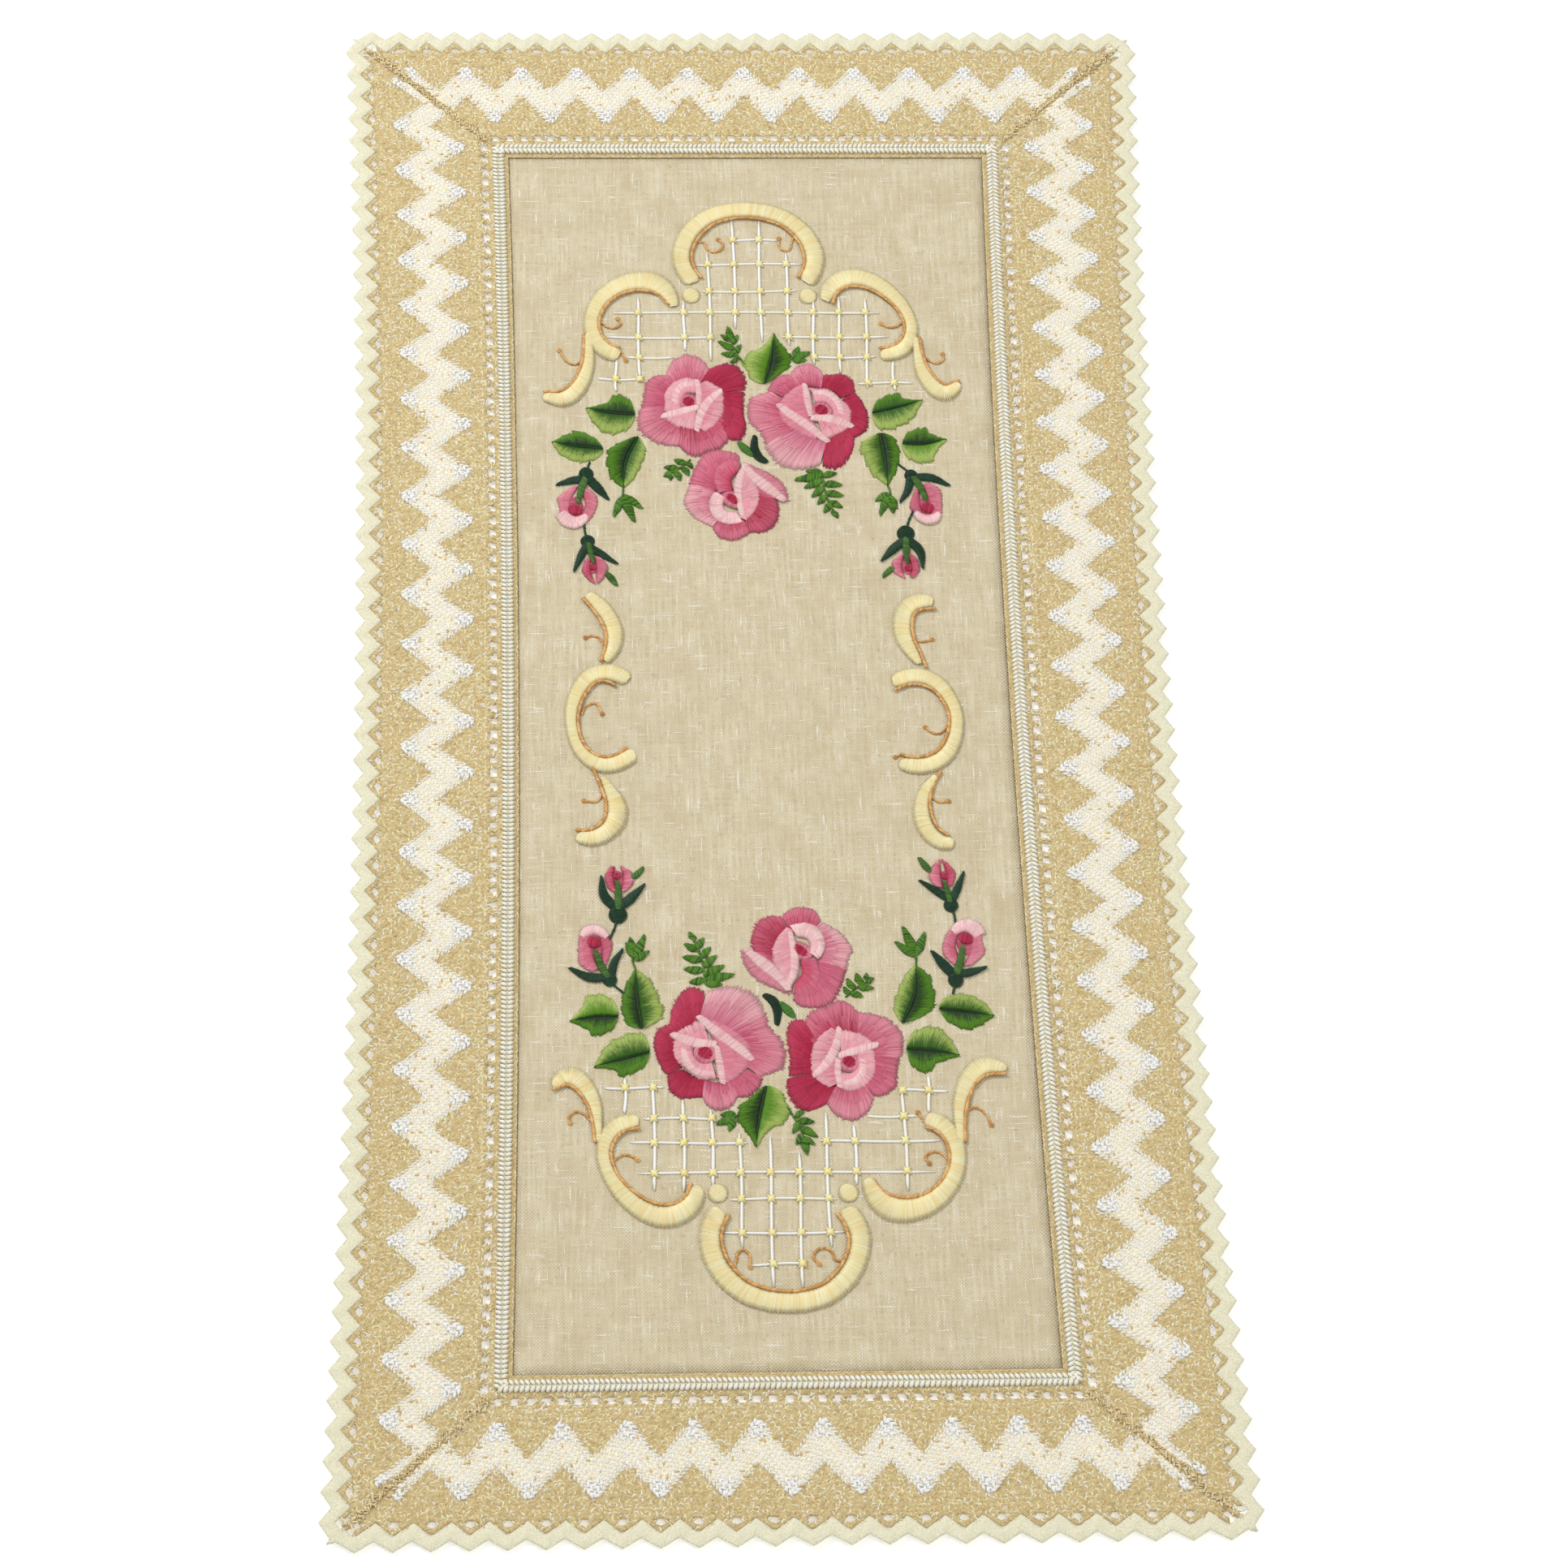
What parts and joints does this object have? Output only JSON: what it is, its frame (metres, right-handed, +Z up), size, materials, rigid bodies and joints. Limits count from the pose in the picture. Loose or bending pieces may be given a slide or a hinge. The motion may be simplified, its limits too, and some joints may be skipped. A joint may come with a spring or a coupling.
{
  "type": "table runner",
  "caption": "Rectangular linen table runner lying flat, with embroidered rose and scroll motifs and a wide mitred knitted-lace border with zigzag bands and a toothed edging",
  "frame": {"origin": "middle of the underside of the runner, at the centre of its overall rectangle, on the table top", "axes": "+Y along the length to the far end, +X across the width, +Z up out of the embroidered face"},
  "size_m": [0.3986, 0.82, 0.0032],
  "materials": {
    "linen": "natural beige flax, plain weave with slubs",
    "lace_thread": "golden-tan knitted cotton-linen thread",
    "cream_thread": "cream cotton, raised ribs and braid",
    "white_edging": "off-white crocheted picot edging",
    "scroll_thread": "cream-yellow padded satin stitch",
    "trellis_thread": "off-white couched threads",
    "rose_thread": "satin stitch in deep magenta, mid pink and pale pink",
    "leaf_thread": "satin stitch in dark, mid and light green"
  },
  "bodies": {
    "root": {"braid_far": "cream_thread", "braid_left": "cream_thread", "braid_near": "cream_thread", "braid_right": "cream_thread", "far_arch": "scroll_thread", "far_bud_spray_left": "rose_thread", "far_bud_spray_right": "rose_thread", "far_dot_left": "scroll_thread", "far_dot_right": "scroll_thread", "far_fern_left": "leaf_thread", "far_fern_right": "leaf_thread", "far_leaf_centre": "leaf_thread", "far_leaves_left": "leaf_thread", "far_leaves_right": "leaf_thread", "far_rose_left": "rose_thread", "far_rose_middle": "rose_thread", "far_rose_right": "rose_thread", "far_scroll_left": "scroll_thread", "far_scroll_right": "scroll_thread", "far_trellis": "trellis_thread", "lace_ground_far": "lace_thread", "lace_ground_left": "lace_thread", "lace_ground_near": "lace_thread", "lace_ground_right": "lace_thread", "linen_panel": "linen", "mitre_seam_far_left": "lace_thread", "mitre_seam_far_right": "lace_thread", "mitre_seam_near_left": "lace_thread", "mitre_seam_near_right": "lace_thread", "near_arch": "scroll_thread", "near_bud_spray_left": "rose_thread", "near_bud_spray_right": "rose_thread", "near_dot_left": "scroll_thread", "near_dot_right": "scroll_thread", "near_fern_left": "leaf_thread", "near_fern_right": "leaf_thread", "near_leaf_centre": "leaf_thread", "near_leaves_left": "leaf_thread", "near_leaves_right": "leaf_thread", "near_rose_left": "rose_thread", "near_rose_middle": "rose_thread", "near_rose_right": "rose_thread", "near_scroll_left": "scroll_thread", "near_scroll_right": "scroll_thread", "near_trellis": "trellis_thread", "picot_edge_far": "white_edging", "picot_edge_left": "white_edging", "picot_edge_near": "white_edging", "picot_edge_right": "white_edging", "side_scroll_left_far": "scroll_thread", "side_scroll_left_middle": "scroll_thread", "side_scroll_left_near": "scroll_thread", "side_scroll_right_far": "scroll_thread", "side_scroll_right_middle": "scroll_thread", "side_scroll_right_near": "scroll_thread", "zigzag_band_far": "cream_thread", "zigzag_band_left": "cream_thread", "zigzag_band_near": "cream_thread", "zigzag_band_right": "cream_thread"}
  },
  "joints": []
}
